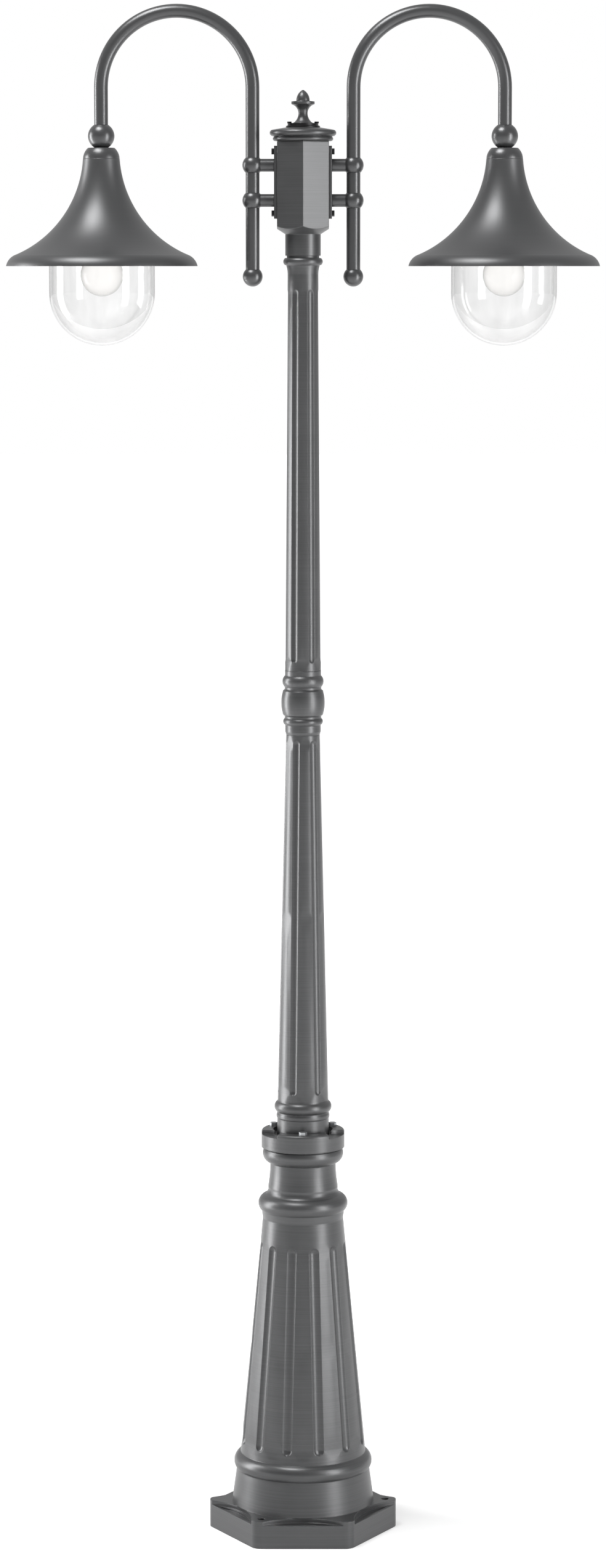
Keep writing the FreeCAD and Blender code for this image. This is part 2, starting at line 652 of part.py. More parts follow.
def make_upper_shaft():
    wall = D.upper_wall
    spigot = D.inner_spigot + D.fit_gap
    shoulder = D.upper_foot_level + D.inner_spigot_reach
    body = turned("upper_shaft", [
        (spigot, D.upper_foot_level), (D.upper_foot, D.upper_foot_level),
        (D.upper_top, D.upper_top_level), (D.upper_flare, D.astragal_foot_level, D.upper_flare * -2),
        (D.astragal_foot, D.astragal_foot_level),
        (D.astragal_foot, D.astragal_top_level, D.astragal_round),
        (D.groove_radius, D.astragal_top_level), (D.groove_radius, D.box_neck_level),
        (D.head_spigot, D.box_neck_level), (D.head_spigot, D.head_spigot_level),
        (D.head_spigot_bore, D.head_spigot_level), (D.upper_top - wall, D.upper_top_level),
        (D.upper_foot - wall, shoulder), (spigot, shoulder)])
    taper = (D.upper_foot, D.upper_foot_level, D.upper_top, D.upper_top_level)
    add_flutes(body, taper, D.upper_flute_foot_level, D.upper_flute_top_level,
               D.upper_flute_width, D.upper_flute_depth, 6, 0)


# ---------------------------------------------------------------- the head

def draw_hexagon(sketch, flat):
    """A hexagon with two flats facing along X."""
    corner = flat * (2 / math.sqrt(3))
    draw_outline(sketch, [polar(corner, 30 + 60 * index) for index in range(6)])


def make_head_box():
    """Hexagonal box with a turned bevel and a round neck, hollow and open at the top."""
    body = new_body("head_box")
    sketch = new_sketch(body, "XY_Plane", D.box_foot_level)
    draw_hexagon(sketch, D.box_flat)
    extrude(body, "Pad", sketch, D.box_level - D.box_foot_level)
    sketch = new_sketch(body, "XY_Plane", D.box_neck_level)
    draw_circle(sketch, ZERO, ZERO, D.box_neck)
    extrude(body, "Pad", sketch, D.box_foot_level - D.box_neck_level)
    doc.recompute()
    rise = D.box_bevel_level - D.box_foot_level
    run = D.box_flat - D.box_neck
    sketch = new_sketch(body, "XZ_Plane")
    draw_outline(sketch, [(D.box_neck, D.box_foot_level),
                          (D.box_neck + run * 2, D.box_foot_level),
                          (D.box_neck + run * 2, D.box_foot_level + rise * 2)])
    made = feature(body, "Groove", sketch)
    made.ReferenceAxis = (sketch, ["V_Axis"])
    made.Angle = 360
    body.Tip = made
    doc.recompute()
    sketch = new_sketch(body, "XY_Plane", D.box_level)
    draw_hexagon(sketch, D.box_flat - D.box_wall)
    extrude(body, "Pocket", sketch, D.box_level - D.box_floor)
    sketch = new_sketch(body, "XY_Plane", D.box_floor)
    draw_circle(sketch, ZERO, ZERO, D.box_bore)
    extrude(body, "Pocket", sketch, D.box_floor - D.box_neck_level)
    doc.recompute()
    add_side_holes(body)
    add_back_hole(body)
    make_earth_hole(body)


def add_side_holes(body):
    """Cable holes and screw holes through both side walls."""
    sketch = new_sketch(body, "YZ_Plane")
    draw_circle(sketch, ZERO, D.high_cross_level, D.cable_hole)
    for level in (D.wall_screw_high_level, D.wall_screw_low_level):
        draw_circle(sketch, ZERO, level, D.wall_screw + D.screw_gap)
    extrude(body, "Pocket", sketch, D.box_flat * 4, both_ways=True)


def add_back_hole(body):
    """The tapped hole for the grub screw, at the back of the neck."""
    sketch = new_sketch(body, "XZ_Plane")
    draw_circle(sketch, ZERO, D.grub_level, D.grub_screw + D.screw_gap)
    extrude(body, "Pocket", sketch, D.box_flat)
    doc.recompute()


def make_earth_hole(body):
    """The tapped hole for the earth screw in the left wall."""
    sketch = new_sketch(body, "YZ_Plane")
    draw_circle(sketch, D.box_wall * 3, D.earth_level, D.earth_screw + D.screw_gap)
    extrude(body, "Pocket", sketch, D.box_flat * 2)
    doc.recompute()


def make_head_trim():
    """Gasket, round cover, finial plate and finial above the box."""
    gasket = new_body("head_gasket")
    sketch = new_sketch(gasket, "XY_Plane", D.box_level)
    draw_hexagon(sketch, D.box_flat - 0.5)
    draw_hexagon(sketch, D.box_flat - D.box_wall)
    extrude(gasket, "Pad", sketch, D.head_gasket_thick)
    foot = D.box_level + D.head_gasket_thick
    turned("head_cover", [
        (ZERO, foot), (D.cover_lip, foot), (D.cover_lip, D.cover_lip_level, D.cover_lip_round),
        (D.cover_edge, D.cover_edge_foot_level),
        (D.cover_edge, D.cover_edge_top_level, D.cover_edge_round),
        (D.cover_crown, D.cover_level), (ZERO, D.cover_level)])
    top = D.cover_level + D.plate_thick
    plate = turned("finial_plate", [
        (ZERO, D.cover_level), (D.plate_rim, D.cover_level),
        (D.plate_rim, D.cover_level + D.plate_rim_thick),
        (D.plate_radius, D.cover_level + D.plate_rim_thick * 1.5),
        (D.plate_radius, top), (ZERO, top)])
    sketch = new_sketch(plate, "XY_Plane", top)
    for side in SIDES.values():
        draw_circle(sketch, D.plate_screw_place * side, ZERO, D.plate_screw + D.screw_gap)
    extrude(plate, "Pocket", sketch, D.plate_thick)
    screws = [hex_screw(D.plate_screw_head, D.plate_screw_head_high, D.plate_screw,
                        D.plate_screw_length, D.plate_screw_place * side, ZERO, top)
              for side in SIDES.values()]
    keep(group(screws), "finial_screws")
    turned("finial", [
        (ZERO, top), (D.finial_flare, top),
        (D.finial_waist, D.finial_waist_level, D.finial_low_hollow * -1),
        (D.finial_neck, D.finial_neck_level, D.finial_high_hollow * -1),
        (D.finial_disc, D.finial_disc_foot_level), (D.finial_disc, D.finial_disc_top_level),
        (D.acorn_radius, D.acorn_foot_level), (D.acorn_tip, D.finial_level, D.acorn_round),
        (ZERO, D.finial_level)])


def make_cover_holes():
    """The two tapped holes in the cover under the finial plate's screws."""
    body = [node for node in nodes if node.Label == "head_cover"][0]
    sketch = new_sketch(body, "XY_Plane", D.cover_level)
    for side in SIDES.values():
        draw_circle(sketch, D.plate_screw_place * side, ZERO, D.plate_screw + D.screw_gap)
    extrude(body, "Pocket", sketch, D.plate_screw_length - D.plate_thick + 1)


def make_head_contents():
    """Terminal block on its rail, the earth screw and the neck's grub screw."""
    inside = D.box_flat - D.box_wall
    foot = D.high_cross_level - D.terminal_high / 2
    block = box(D.terminal_half * 2, D.terminal_width, D.terminal_high,
                D.terminal_half * -1, D.terminal_width * -0.5, foot)
    entries = cylinder(D.cable + D.screw_gap, D.terminal_half * 2 + 2,
                       D.terminal_half * -1 - 1, ZERO, D.high_cross_level, ALONG_X)
    keep(cut(block, entries), "terminal_block")
    rail = box(inside * 2, D.rail_width, D.rail_thick,
               inside * -1, D.rail_width * -0.5, foot - D.rail_thick)
    keep(rail, "terminal_rail")
    earth = hex_screw(D.earth_head, D.earth_head_high, D.earth_screw, D.earth_length,
                      inside * -1, D.box_wall * 3, D.earth_level, ALONG_X)
    keep(earth, "earth_screw")
    grub = cylinder(D.grub_screw, D.box_neck - D.box_bore, ZERO, D.box_bore,
                    D.grub_level, ALONG_Y)
    keep(grub, "neck_screw")


# ---------------------------------------------------------------- the arms

def make_wall_plate(name, side):
    """Flat plate against the box's side wall, with holes for screws, tube and cable."""
    near = D.box_flat * side
    inner_x = near if side > 0 else near - D.wall_plate_thick
    plate = box(D.wall_plate_thick, D.wall_plate_width, D.wall_plate_level - D.wall_plate_foot_level,
                inner_x, D.wall_plate_width * -0.5, D.wall_plate_foot_level)
    holes = []
    for level, radius in ((D.high_cross_level, D.cable_hole),
                          (D.wall_screw_high_level, D.wall_screw + D.screw_gap),
                          (D.wall_screw_low_level, D.wall_screw + D.screw_gap)):
        holes.append(cylinder(radius, D.wall_plate_thick * 3, (D.box_flat - D.wall_plate_thick) * side,
                              ZERO, level, outwards(side)))
    keep(cut(plate, fuse(holes)), name + "_wall_plate")
    face = (D.box_flat + D.wall_plate_thick) * side
    screws = [hex_screw(D.wall_screw_head, D.wall_screw_head_high, D.wall_screw,
                        D.wall_screw_length, face, ZERO, level, outwards(side))
              for level in (D.wall_screw_high_level, D.wall_screw_low_level)]
    keep(group(screws), name + "_plate_screws")


def make_tee(name, side, which, level):
    """A cross tube from the wall plate, and the ball that holds the arm tube."""
    face = D.box_flat + D.wall_plate_thick
    reach = D.arm_pole_place - (D.arm_tube + D.fit_gap * 2)
    tube = cylinder(D.cross_tube, reach - face, face * side, ZERO, level, outwards(side))
    bore = cylinder(D.cross_bore, reach, face * side, ZERO, level, outwards(side))
    keep(trim_to_tube(cut(tube, bore), side, level), "%s_%s_cross_tube" % (name, which))
    ball = sphere(D.tee_ball, D.arm_pole_place * side, ZERO, level)
    arm_bore = cylinder(D.arm_tube + D.fit_gap, D.tee_ball * 4,
                        D.arm_pole_place * side, ZERO, level - D.tee_ball * 2)
    side_bore = cylinder(D.cross_tube + D.fit_gap, D.arm_pole_place - face,
                         face * side, ZERO, level, outwards(side))
    keep(cut(ball, fuse([arm_bore, side_bore])), "%s_%s_tee_ball" % (name, which))


def trim_to_tube(tube, side, level):
    """Cut a cross tube's end to the arm tube's round."""
    clearance = cylinder(D.arm_tube + D.fit_gap * 2, D.tee_ball * 4,
                         D.arm_pole_place * side, ZERO, level - D.tee_ball * 2)
    return cut(tube, clearance)


def pipe_feature(body, kind, path, section, edge_count):
    """A round section carried along the whole path, added to the body or cut from it."""
    made = feature(body, kind, section)
    made.Spine = (path, ["Edge%d" % (index + 1) for index in range(edge_count)])
    path.Visibility = False
    doc.recompute()


def piped(label, side, route, radius, bore=None, start_along_x=False):
    """A round bar or tube that follows a route in the XZ plane, turned over for the left arm."""
    body = new_body(label)
    if side < 0:
        body.Placement = FreeCAD.Placement(FreeCAD.Vector(), FreeCAD.Rotation(UP, 180))
    for kind, size in (("AdditivePipe", radius), ("SubtractivePipe", bore)):
        if size is None:
            continue
        path = new_sketch(body, "XZ_Plane")
        draw_outline(path, route, closed=False)
        if start_along_x:
            section = new_sketch(body, "YZ_Plane", route[0][0])
            draw_circle(section, ZERO, route[0][1], size)
        else:
            section = new_sketch(body, "XY_Plane", route[0][1])
            draw_circle(section, route[0][0], ZERO, size)
        doc.recompute()
        pipe_feature(body, kind, path, section, len(route) - 1)
    return body


def arch_steps():
    """The half-round arch as two quarter arcs: its foot, its crown and its far end."""
    radius = (D.arm_lamp_place - D.arm_pole_place) / 2
    level = D.arm_top - D.arm_tube - radius
    return [(D.arm_pole_place, level),
            (D.arm_pole_place + radius, level + radius, radius * -1),
            (D.arm_lamp_place, level, radius)]


def make_arm_tube(name, side):
    route = [(D.arm_pole_place, D.end_ball_level)] + arch_steps()
    route.append((D.arm_lamp_place, D.arm_end_level))
    body = piped(name + "_arm_tube", side, route, D.arm_tube, D.arm_tube - D.arm_wall)
    before = body.Shape.Volume
    sketch = new_sketch(body, "YZ_Plane")
    draw_circle(sketch, ZERO, D.high_cross_level, D.cable_hole)
    extrude(body, "Pocket", sketch, D.arm_pole_place, reverse=True)
    doc.recompute()
    print("%s: cable hole took %.0f mm3" % (body.Label, before - body.Shape.Volume))


def make_arm_cable(name, side):
    """The lamp's cable, inside the cross tube, the arm and the nipple all the way."""
    bend = D.cable_bend
    route = [(D.terminal_half - 6, D.high_cross_level),
             (D.arm_pole_place - bend, D.high_cross_level),
             (D.arm_pole_place, D.high_cross_level + bend, bend)]
    route += arch_steps()
    route.append((D.arm_lamp_place, D.cable_end_level))
    piped(name + "_arm_cable", side, route, D.cable, start_along_x=True)


def make_balls(name, side):
    """The ball that closes the arm tube's foot, and the ball that carries the lamp."""
    end = sphere(D.end_ball, D.arm_pole_place * side, ZERO, D.end_ball_level)
    socket = cylinder(D.arm_tube + D.fit_gap, D.end_ball * 2,
                      D.arm_pole_place * side, ZERO, D.end_ball_level)
    keep(cut(end, socket), name + "_end_ball")
    ball = sphere(D.lamp_ball, D.arm_lamp_place * side, ZERO, D.lamp_ball_level)
    socket = cylinder(D.arm_tube + D.fit_gap, D.lamp_ball * 2,
                      D.arm_lamp_place * side, ZERO, D.arm_end_level)
    thread = cylinder(D.nipple + D.fit_gap, D.lamp_ball * 3,
                      D.arm_lamp_place * side, ZERO, D.lamp_ball_level - D.lamp_ball * 1.5)
    keep(cut(ball, fuse([socket, thread])), name + "_lamp_ball")


# ---------------------------------------------------------------- the lamps

def circle_level(radius, x):
    """How far below the shade's centre level the trumpet of a given round is at radius x."""
    across = D.shade_axis - x
    return root(radius * radius - across * across)


def circle_radius(radius, level):
    """The radius of the trumpet of a given round at a level."""
    drop = D.shade_centre_level - level
    return D.shade_axis - root(radius * radius - drop * drop)


def make_shade(name, x):
    """A spun shade: one hollow trumpet arc, then a rolled lip, and a flat top with a hole."""
    thick = D.shade_thick
    outer = D.shade_round
    inner = D.shade_round + thick
    under = D.cap_foot_level - thick
    inner_waist = D.shade_waist - thick * 0.4
    turned(name + "_shade", [
        (D.nipple + D.fit_gap, under), (circle_radius(inner, under), under),
        (inner_waist, D.shade_centre_level - circle_level(inner, inner_waist), inner * -1),
        (D.shade_rim - thick, D.rim_level, D.lip_round - thick),
        (D.shade_rim, D.rim_level),
        (D.shade_waist, D.shade_centre_level - circle_level(outer, D.shade_waist), D.lip_round),
        (circle_radius(outer, D.cap_foot_level), D.cap_foot_level, outer * -1),
        (D.nipple + D.fit_gap, D.cap_foot_level)], x)


def make_shade_cap(name, x):
    roof = D.cap_seat_level - D.cap_roof
    turned(name + "_shade_cap", [
        (D.nipple + D.fit_gap, roof), (D.cap_top - D.cap_roof, roof),
        (D.cap_inner, D.cap_foot_level), (D.cap_foot, D.cap_foot_level),
        (D.cap_top, D.cap_top_level, D.cap_round), (D.cap_seat, D.cap_top_level),
        (D.cap_seat, D.cap_seat_level), (D.nipple + D.fit_gap, D.cap_seat_level)], x)


def make_lampholder(name, x):
    """Screw lampholder on the nipple, and the gallery whose rim takes the globe's neck."""
    shoulder = D.holder_level - D.holder_shoulder_high
    turned(name + "_lampholder", [
        (D.nipple + D.fit_gap, D.holder_bore_level + 4), (D.holder_bore, D.holder_bore_level),
        (D.holder_bore, D.holder_foot_level), (D.holder, D.holder_foot_level),
        (D.holder, shoulder), (D.holder_shoulder, D.holder_level, D.holder_shoulder),
        (D.nipple + D.fit_gap, D.holder_level)], x)
    ceiling = D.gallery_level - D.gallery_thick
    turned(name + "_gallery_ring", [
        (D.holder + D.fit_gap, ceiling), (D.gallery_inner, ceiling),
        (D.gallery_inner, D.gallery_foot_level), (D.gallery_outer, D.gallery_foot_level),
        (D.gallery_outer, D.gallery_level), (D.holder + D.fit_gap, D.gallery_level)], x)
    ring(name + "_globe_gasket", D.gasket_inner, D.gasket_outer,
         ceiling - D.gasket_thick - 0.2, ceiling - 0.2, x)


def make_globe(name, x):
    """Clear globe: a screw neck, a shoulder, straight sides and a half-round foot."""
    wall = D.globe_wall
    inner = D.globe - wall
    neck = D.globe_neck - wall
    top = D.gallery_level - D.gallery_thick - D.gasket_thick - 0.4
    centre = D.globe_centre_level
    turned(name + "_globe", [
        (ZERO, centre - D.globe), (D.globe, centre, D.globe),
        (D.globe, D.globe_side_level),
        (D.globe_neck, D.globe_neck_level, D.globe_shoulder),
        (D.globe_neck, top), (neck, top), (neck, D.globe_neck_level - wall),
        (inner, D.globe_side_level, D.globe_shoulder - wall), (inner, centre),
        (ZERO, centre - inner, inner)], x)


def make_bulb(name, x):
    """Round bulb: glass, screw cap, contact, and a stem with four light-emitting rods."""
    wall = D.bulb_wall
    foot = D.bulb_centre_level - D.bulb
    turned(name + "_bulb_glass", [
        (ZERO, foot), (D.bulb_tangent, D.bulb_tangent_level, D.bulb),
        (D.bulb_throat, D.bulb_throat_level, D.bulb_neck_hollow * -1),
        (D.bulb_throat - wall, D.bulb_throat_level),
        (D.bulb_tangent - wall, D.bulb_tangent_level - wall * 0.5,
         (D.bulb_neck_hollow + wall) * -1),
        (ZERO, foot + wall, D.bulb - wall)], x)
    shell = D.screw_cap_wall
    turned(name + "_bulb_cap", [
        (D.screw_cap - shell, D.bulb_throat_level), (D.screw_cap, D.bulb_throat_level),
        (D.screw_cap, D.screw_cap_level), (D.screw_cap_shoulder, D.screw_cap_top_level),
        (D.screw_cap_shoulder - shell, D.screw_cap_top_level - shell),
        (D.screw_cap - shell, D.screw_cap_level - shell)], x)
    turned(name + "_bulb_contact", [
        (ZERO, D.screw_cap_top_level + 0.1), (D.contact_disc, D.screw_cap_top_level + 0.1),
        (D.contact, D.screw_cap_top_level + 1.5), (D.contact, D.contact_level),
        (ZERO, D.contact_level)], x)
    make_bulb_stem(name, x)


def make_bulb_stem(name, x):
    stem = cylinder(D.stem, D.stem_level - D.stem_foot_level, x, ZERO, D.stem_foot_level)
    flare = cylinder(D.stem_flare, D.bulb_wall * 1.5, x, ZERO, D.stem_level - D.bulb_wall * 1.5)
    rods = [stem, flare]
    for quarter in range(4):
        place_x, place_y = polar(D.stem - D.filament * 0.5, 45 + 90 * quarter, (x, ZERO))
        rods.append(cylinder(D.filament, D.stem_foot_level - D.filament_foot_level + 1,
                             place_x, place_y, D.filament_foot_level))
    keep(fuse(rods), name + "_bulb_stem")


def make_nipple(name, x):
    ring(name + "_nipple", D.nipple_bore, D.nipple, D.nipple_foot_level, D.nipple_top_level, x)


# ---------------------------------------------------------------- build, check and write

def make_arm(name, side):
    make_wall_plate(name, side)
    make_tee(name, side, "upper", D.high_cross_level)
    make_tee(name, side, "lower", D.low_cross_level)
    make_arm_tube(name, side)
    make_arm_cable(name, side)
    make_balls(name, side)
    lamp = D.arm_lamp_place * side
    make_nipple(name, lamp)
    make_shade_cap(name, lamp)
    make_shade(name, lamp)
    make_lampholder(name, lamp)
    make_globe(name, lamp)
    make_bulb(name, lamp)


def check_all():
    """Stop if any object failed or any sub-part's shape is missing or broken."""
    faults = []
    for thing in doc.Objects:
        if "Invalid" in thing.State or "Error" in thing.State:
            faults.append("%s (%s) failed" % (thing.Name, thing.Label))
    for node in nodes:
        if node.Shape.isNull() or not node.Shape.isValid() or node.Shape.Volume <= 0:
            faults.append("%s has no valid shape" % node.Label)
    labels = [node.Label for node in nodes]
    if len(set(labels)) != len(labels):
        faults.append("two sub-parts share a name")
    if faults:
        raise RuntimeError("; ".join(faults))


def write_parts():
    os.makedirs("parts", exist_ok=True)
    for node in nodes:
        node.Shape.exportStep("parts/%s.step" % node.Label)
    print("wrote %d sub-parts" % len(nodes))


def main():
    write_sheet()
    make_base_casting()
    make_collar()
    make_collar_bolts()
    make_lower_shaft()
    make_joint_sleeve()
    make_joint_spigot()
    make_upper_shaft()
    make_head_box()
    make_head_trim()
    make_cover_holes()
    make_head_contents()
    for name, side in SIDES.items():
        make_arm(name, side)
    doc.recompute()
    check_all()
    write_parts()


main()
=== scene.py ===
# %% [markdown]
# # A two-arm street lamp post
# The metal pieces of this post come ready-made from the construction model, so this lesson is
# about looks: satin paint on castings, clear glass, a lit bulb, and a plain studio around them.

# %% Load the frame
import json
import math

import bpy
import numpy as np
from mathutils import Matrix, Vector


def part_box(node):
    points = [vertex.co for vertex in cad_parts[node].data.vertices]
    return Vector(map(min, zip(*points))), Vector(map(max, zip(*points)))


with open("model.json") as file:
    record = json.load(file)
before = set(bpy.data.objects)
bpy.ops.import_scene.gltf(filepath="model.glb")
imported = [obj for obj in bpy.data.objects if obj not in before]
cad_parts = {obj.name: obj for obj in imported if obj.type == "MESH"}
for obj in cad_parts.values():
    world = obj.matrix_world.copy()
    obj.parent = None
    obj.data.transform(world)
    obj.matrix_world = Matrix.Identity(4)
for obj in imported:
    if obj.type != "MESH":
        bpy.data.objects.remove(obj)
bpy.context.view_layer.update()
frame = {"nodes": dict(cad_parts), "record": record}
nodes = frame["nodes"]

# %% [markdown]
# ## The camera
# The post is slim and tall, so a long lens from several metres away keeps it from looking
# bent. The camera stands level with the rims of the shades, so that each rim is seen edge on
# and the foot is seen from above.

# %% Camera
shade_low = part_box("left_shade")[0]
RIM_LEVEL = shade_low.z
CAMERA_DISTANCE = 6.8
LENS = 100.3
PITCH_DEGREES = 6.76


def add_camera(distance, height, pitch_degrees, lens):
    """A camera on the -Y side that looks along +Y and down by the pitch."""
    data = bpy.data.cameras.new("camera")
    data.lens = lens
    data.sensor_fit = "VERTICAL"
    data.sensor_height = 36.0
    data.clip_end = 200.0
    camera = bpy.data.objects.new("camera", data)
    camera.location = (0.0, -distance, height)
    camera.rotation_euler = (math.radians(90.0 - pitch_degrees), 0.0, 0.0)
    bpy.context.collection.objects.link(camera)
    bpy.context.scene.camera = camera
    return camera


add_camera(CAMERA_DISTANCE, RIM_LEVEL, PITCH_DEGREES, LENS)
print("camera height", round(RIM_LEVEL, 3))

# %% [markdown]
# ## Shader helpers
# Materials are built in code from a few nodes. A small helper adds a node, sets its plain
# values and keeps each recipe short enough to read.

# %% Node helpers


def add_node(tree, kind, **values):
    """Add a shader node; names of inputs set their values, other names set its properties."""
    node = tree.nodes.new(kind)
    for name, value in values.items():
        socket = name.replace("_", " ").title()
        if hasattr(node, name):
            setattr(node, name, value)
        else:
            node.inputs[socket].default_value = value
    return node


def link(tree, start, end):
    """Join two sockets."""
    tree.links.new(start, end)


def new_group(name, inputs, outputs):
    """A shader node group with named inputs and outputs. Each is (name, kind, default)."""
    tree = bpy.data.node_groups.new(name, "ShaderNodeTree")
    for title, kind, default in inputs:
        socket = tree.interface.new_socket(title, in_out="INPUT", socket_type=kind)
        socket.default_value = default
    for title, kind in outputs:
        tree.interface.new_socket(title, in_out="OUTPUT", socket_type=kind)
    return tree, tree.nodes.new("NodeGroupInput"), tree.nodes.new("NodeGroupOutput")


def use_group(tree, group, **values):
    """Place a node group in a material, with its own values."""
    node = tree.nodes.new("ShaderNodeGroup")
    node.node_tree = group
    for name, value in values.items():
        node.inputs[name.replace("_", " ").capitalize()].default_value = value
    return node


# %% [markdown]
# ## The painted skin
# Cast aluminium is never quite even under its paint. Large soft patches come from the casting,
# a fine orange peel comes from the powder coat, and very fine rings come from the lathe that
# cleaned the casting. Each is a noise with its own scale, put together in one group, so every
# painted piece can use the same recipe in its own strength.

# %% Painted skin group
FLOAT = "NodeSocketFloat"
COLOUR = "NodeSocketColor"


def noise(tree, coordinates, scale, detail, roughness=0.5):
    """A noise texture on some coordinates."""
    node = tree.nodes.new("ShaderNodeTexNoise")
    node.inputs["Scale"].default_value = scale
    node.inputs["Detail"].default_value = detail
    node.inputs["Roughness"].default_value = roughness
    link(tree, coordinates, node.inputs["Vector"])
    return node


def stretched(tree, coordinates, scale):
    """Coordinates scaled by a different amount along each axis."""
    node = tree.nodes.new("ShaderNodeMapping")
    node.inputs["Scale"].default_value = scale
    link(tree, coordinates, node.inputs["Vector"])
    return node.outputs["Vector"]


def calculate(tree, operation, first, second=None, clamp=False):
    """One sum on two values; each is a socket or a plain number."""
    node = tree.nodes.new("ShaderNodeMath")
    node.operation = operation
    node.use_clamp = clamp
    for index, value in enumerate((first, second)):
        if value is None:
            continue
        if isinstance(value, (int, float)):
            node.inputs[index].default_value = value
        else:
            link(tree, value, node.inputs[index])
    return node.outputs[0]


def scaled_about(tree, value, middle, amount, base):
    """base plus the value's distance from its middle, times an amount."""
    centred = calculate(tree, "SUBTRACT", value, middle)
    return calculate(tree, "ADD", calculate(tree, "MULTIPLY", centred, amount), base)


def make_skin_group():
    """Colour, roughness and height of paint over metal, from three noises."""
    tree, given, result = new_group(
        "painted_skin",
        [("Tint", COLOUR, (0.1, 0.1, 0.1, 1.0)), ("Mottle", FLOAT, 0.3), ("Gloss", FLOAT, 0.4),
         ("Peel", FLOAT, 0.5), ("Turning", FLOAT, 0.3)],
        [("Color", COLOUR), ("Roughness", FLOAT), ("Height", FLOAT)])
    place = tree.nodes.new("ShaderNodeTexCoord").outputs["Object"]
    patches = noise(tree, place, 9.0, 4.0).outputs["Fac"]
    peel = noise(tree, place, 900.0, 2.0).outputs["Fac"]
    rings = noise(tree, stretched(tree, place, (4.0, 4.0, 700.0)), 1.0, 3.0, 0.7).outputs["Fac"]
    shade = scaled_about(tree, patches, 0.5, given.outputs["Mottle"], 1.0)
    ring_shade = scaled_about(tree, rings, 0.5, given.outputs["Turning"], 1.0)
    brightness = calculate(tree, "MULTIPLY", shade, ring_shade)
    colour = tree.nodes.new("ShaderNodeVectorMath")
    colour.operation = "SCALE"
    link(tree, given.outputs["Tint"], colour.inputs[0])
    link(tree, brightness, colour.inputs["Scale"])
    link(tree, colour.outputs["Vector"], result.inputs["Color"])
    rough = scaled_about(tree, patches, 0.5, 0.16, given.outputs["Gloss"])
    ring_rough = calculate(tree, "MULTIPLY", rings, calculate(
        tree, "MULTIPLY", given.outputs["Turning"], 0.18))
    link(tree, calculate(tree, "ADD", rough, ring_rough, clamp=True), result.inputs["Roughness"])
    peel_height = calculate(tree, "MULTIPLY", peel, given.outputs["Peel"])
    ring_height = calculate(tree, "MULTIPLY", rings, given.outputs["Turning"])
    link(tree, calculate(tree, "ADD", peel_height, ring_height), result.inputs["Height"])
    return tree


SKIN = make_skin_group()
print("skin group sockets:", [item.name for item in SKIN.interface.items_tree])


def blank_material(name):
    """A material with an empty tree, its output and a Principled BSDF."""
    material = bpy.data.materials.new(name)
    material.use_nodes = True
    tree = material.node_tree
    tree.nodes.clear()
    output = tree.nodes.new("ShaderNodeOutputMaterial")
    shader = tree.nodes.new("ShaderNodeBsdfPrincipled")
    link(tree, shader.outputs["BSDF"], output.inputs["Surface"])
    return material, tree, shader


def add_bump(tree, shader, height, strength, distance):
    """Let a height move the light on the surface."""
    bump = tree.nodes.new("ShaderNodeBump")
    bump.inputs["Strength"].default_value = strength
    bump.inputs["Distance"].default_value = distance
    link(tree, height, bump.inputs["Height"])
    link(tree, bump.outputs["Normal"], shader.inputs["Normal"])
    return bump


PAINT_METALLIC = 0.5
EDGE_ROUND = 0.0018


def painted(name, tint, mottle, gloss, peel, turning):
    """Satin paint over metal, from the painted skin group, with softly rounded edges."""
    material, tree, shader = blank_material(name)
    skin = use_group(tree, SKIN, tint=(*tint, 1.0), mottle=mottle, gloss=gloss, peel=peel,
                     turning=turning)
    link(tree, skin.outputs["Color"], shader.inputs["Base Color"])
    link(tree, skin.outputs["Roughness"], shader.inputs["Roughness"])
    shader.inputs["Metallic"].default_value = PAINT_METALLIC
    rounded = tree.nodes.new("ShaderNodeBevel")
    rounded.samples = 4
    rounded.inputs["Radius"].default_value = EDGE_ROUND
    bump = add_bump(tree, shader, skin.outputs["Height"], 0.25, 0.0004)
    link(tree, rounded.outputs["Normal"], bump.inputs["Normal"])
    return material


# %% [markdown]
# ## The paints
# All the metal is one anthracite colour. The castings keep more of their mottle and turning
# marks, the drawn arm tubes are smoother, and the spun shades are the smoothest of all.

# %% Paint materials
ANTHRACITE = (0.085, 0.086, 0.088)
cast_paint = painted("cast_paint", ANTHRACITE, 0.3, 0.30, 0.3, 0.6)
arm_paint = painted("arm_paint", ANTHRACITE, 0.2, 0.30, 0.12, 0.04)
print("paints ready")

# %% [markdown]
# A spun shade is painted dark outside and white inside, to throw the light down. Both finishes
# are on one piece of sheet, so the material looks at which way the surface faces: where it faces
# its own lamp's axis it gets the white enamel.

# %% Shade material
globe_low, globe_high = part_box("right_globe")
LAMP_PLACE = (globe_low.x + globe_high.x) / 2
FACING_LIMIT = -0.0005
ENAMEL = (0.78, 0.77, 0.74, 1.0)


def facing_in(tree):
    """1 where a shade's surface faces its own lamp's axis, and 0 where it faces away.
    Both axes stand at the same distance from the post, so one sum on |x| serves both."""
    place = tree.nodes.new("ShaderNodeSeparateXYZ")
    link(tree, tree.nodes.new("ShaderNodeTexCoord").outputs["Object"], place.inputs["Vector"])
    normal = tree.nodes.new("ShaderNodeSeparateXYZ")
    link(tree, tree.nodes.new("ShaderNodeNewGeometry").outputs["Normal"], normal.inputs["Vector"])
    beyond = calculate(tree, "SUBTRACT", calculate(tree, "ABSOLUTE", place.outputs["X"]),
                       LAMP_PLACE)
    sideways = calculate(tree, "MULTIPLY", normal.outputs["X"], calculate(
        tree, "SIGN", place.outputs["X"]))
    outward = calculate(tree, "ADD", calculate(tree, "MULTIPLY", beyond, sideways), calculate(
        tree, "MULTIPLY", place.outputs["Y"], normal.outputs["Y"]))
    return calculate(tree, "LESS_THAN", outward, FACING_LIMIT)


